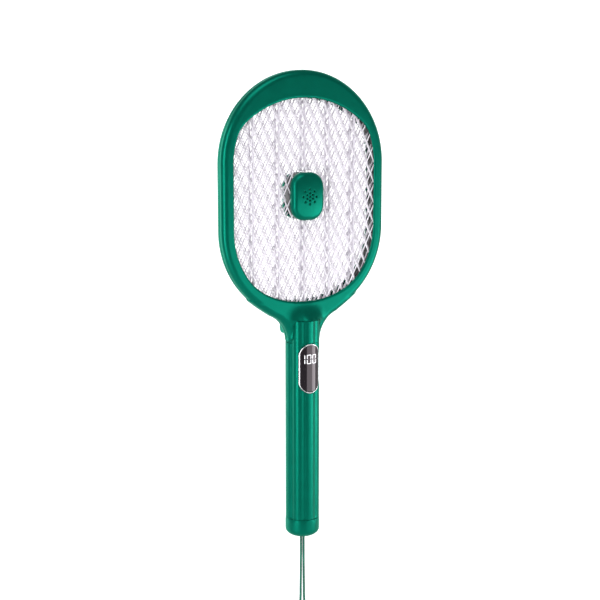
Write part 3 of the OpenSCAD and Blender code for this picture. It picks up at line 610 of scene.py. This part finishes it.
# ---------------------------------------------------------------- lanyard
CORD_R = 1.3
LANYARD = [(-1.5, 0, -113), (-1.5, 0, -121), (-1.5, 0, -134), (-1.6, 0, -146),
           (-1.7, 0, -159), (-1.9, 0, -173), (-2.1, 0, -187), (-3.2, 0.1, -200),
           (-5.4, 0.3, -213), (-8.2, 0.5, -226), (-10.6, 0.8, -239), (-11.4, 1, -251),
           (-9.6, 1.1, -261), (-5.4, 1.1, -268), (0.4, 1, -270.5), (6, 0.9, -268),
           (10, 0.8, -261), (11.6, 0.6, -251), (10.6, 0.4, -239), (8.2, 0.2, -226),
           (5.4, 0, -213), (3.2, 0, -200), (2.1, 0, -187), (1.9, 0, -173), (1.7, 0, -159),
           (1.6, 0, -146), (1.5, 0, -134), (1.5, 0, -121), (1.5, 0, -113)]


def catmull_rom(route, steps):
    p = np.array([route[0], *route, route[-1]], float)
    t = np.arange(steps)[:, None] / steps
    parts = [0.5 * (2 * p[i] + (p[i + 1] - p[i - 1]) * t
                    + (2 * p[i - 1] - 5 * p[i] + 4 * p[i + 1] - p[i + 2]) * t ** 2
                    + (3 * p[i] - p[i - 1] - 3 * p[i + 1] + p[i + 2]) * t ** 3)
             for i in range(1, len(p) - 2)]
    return np.concatenate([*parts, p[-1:]])


def braided_cord(name, route, radius, sides=32, strands=4, lay=7.0, relief=0.11):
    """Round cord along a route, with two sets of strands crossing over its surface."""
    line = catmull_rom(route, 30)
    tangent = np.gradient(line, axis=0)
    tangent /= np.linalg.norm(tangent, axis=1, keepdims=True)
    across = np.cross(tangent, (0, 1, 0))
    across /= np.linalg.norm(across, axis=1, keepdims=True)
    second = np.cross(tangent, across)
    run = np.concatenate([[0], np.cumsum(np.linalg.norm(np.diff(line, axis=0), axis=1))])
    turn = 2 * math.pi * np.arange(sides) / sides
    s, a = np.meshgrid(2 * math.pi * run / lay, turn, indexing="ij")
    left, right = np.cos(strands * (a + s)), np.cos(strands * (a - s))
    over = np.sign(np.sin(strands * a) * np.sin(strands * s) + 1e-9)
    weave = np.where(over > 0, left, right)
    r = radius - relief * (0.5 - 0.5 * weave)
    points = line[:, None] + r[..., None] * (np.cos(a)[..., None] * across[:, None]
                                             + np.sin(a)[..., None] * second[:, None])
    return tube_piece(name, points), line * MM


lanyard, lanyard_line = braided_cord("wrist_cord", LANYARD, CORD_R)
finished(lanyard, "cord_braid", "lanyard")

# ---------------------------------------------------------------- pieces kept from the CAD
KEPT = {
    "circuit_board": ("lamp_board", "main_board", "charge_board"),
    "screw_steel": ("trigger_pin", "battery_contacts", "lanyard_crimp", "slide_switch"),
    "dark_plastic": ("push_switch", "slide_switch_lever", "controller_chip", "hv_diodes"),
    "white_plastic": ("lamp_leads",),
    "wire_insulation": ("head_leads", "battery_leads"),
    "led_resin": ("uv_leds",),
    "capacitor_film": ("hv_capacitor",),
}
TWO_TONE = {"transformer": ("copper_winding", "dark_plastic"),
            "battery_cell": ("battery_wrap", "screw_steel"),
            "charge_socket": ("screw_steel", "dark_plastic"),
            "display_board": ("circuit_board", "dark_plastic")}
for look, nodes in KEPT.items():
    for node in nodes:
        for held in NODES[node].material_slots:
            held.material = LOOKS[look]
for node, looks in TWO_TONE.items():
    for held, look in zip(NODES[node].material_slots, looks):
        held.material = LOOKS[look]


# ---------------------------------------------------------------- floor and light
# Metres from here on.
FLOOR_Z, WALL_Y, WALL_TOP, SWEEP_R, STAGE_W = -0.42, 1.6, 3.0, 0.7, 8.0
FLOOR_GLOW, WALL_GLOW, FADE_Y = 0.16, 0.85, (-0.1, 0.6)  # light given off, and where it grows


def backdrop():
    """Pale floor that curves up into a wall behind the object. Both give off light, the
    wall the most."""
    arc = [(WALL_Y - SWEEP_R + SWEEP_R * math.sin(a), FLOOR_Z + SWEEP_R - SWEEP_R * math.cos(a))
           for a in np.linspace(0, math.pi / 2, 25)]
    line = [(-STAGE_W, FLOOR_Z), *arc, (WALL_Y, WALL_TOP)]
    points = np.array([(x, y, z) for y, z in line for x in (-STAGE_W, STAGE_W)])
    faces = [(2 * i, 2 * i + 1, 2 * i + 3, 2 * i + 2) for i in range(len(line) - 1)]
    piece = new_piece("backdrop", points / MM, faces)
    piece.rotation_euler = (0, 0, AZIMUTH)
    paper = material("paper", (0.80, 0.80, 0.80), 0.9, glow=1.0, grain=(200, 0.05),
                     mottle=0.01)
    tree = paper.node_tree
    apart = tree.nodes.new("ShaderNodeSeparateXYZ")
    tree.links.new(tree.nodes.new("ShaderNodeTexCoord").outputs["Object"], apart.inputs["Vector"])
    fade = tree.nodes.new("ShaderNodeMapRange")
    for name, value in (("From Min", FADE_Y[0]), ("From Max", FADE_Y[1]),
                        ("To Min", FLOOR_GLOW), ("To Max", WALL_GLOW)):
        fade.inputs[name].default_value = value
    tree.links.new(apart.outputs["Y"], fade.inputs["Value"])
    tree.links.new(fade.outputs["Result"],
                   tree.nodes["Principled BSDF"].inputs["Emission Strength"])
    piece.data.materials.append(paper)
    return piece


backdrop()
world = bpy.data.worlds.new("studio")
world.use_nodes = True
world.node_tree.nodes["Background"].inputs["Color"].default_value = (0.92, 0.96, 1.0, 1)
world.node_tree.nodes["Background"].inputs["Strength"].default_value = 0.17
bpy.context.scene.world = world
bpy.context.scene.view_settings.view_transform = "Standard"


def soft_box(name, phi, height, distance, width, tall, power, aim_z=0.08):
    """Area light at an angle phi from the front towards the left, aimed at the object."""
    phi = math.radians(phi)
    light = bpy.data.lights.new(name, "AREA")
    light.shape, light.size, light.size_y, light.energy = "RECTANGLE", width, tall, power
    piece = bpy.data.objects.new(name, light)
    bpy.context.collection.objects.link(piece)
    piece.location = (-distance * math.sin(phi), -distance * math.cos(phi), height)
    aim = Vector((0, 0, aim_z)) - piece.location
    piece.rotation_mode = "QUATERNION"
    piece.rotation_quaternion = aim.to_track_quat("-Z", "Y")


soft_box("panel_front", -20, -0.34, 1.3, 0.90, 0.9, 7)
soft_box("panel_right", -52, -0.34, 1.3, 0.62, 0.9, 12)
soft_box("strip_left", 66, 0.10, 1.3, 0.40, 1.8, 17)
soft_box("strip_behind", 140, 0.10, 1.3, 0.70, 1.8, 12)
soft_box("overhead", 20, 1.5, 0.7, 1.1, 0.8, 9, aim_z=0.1)
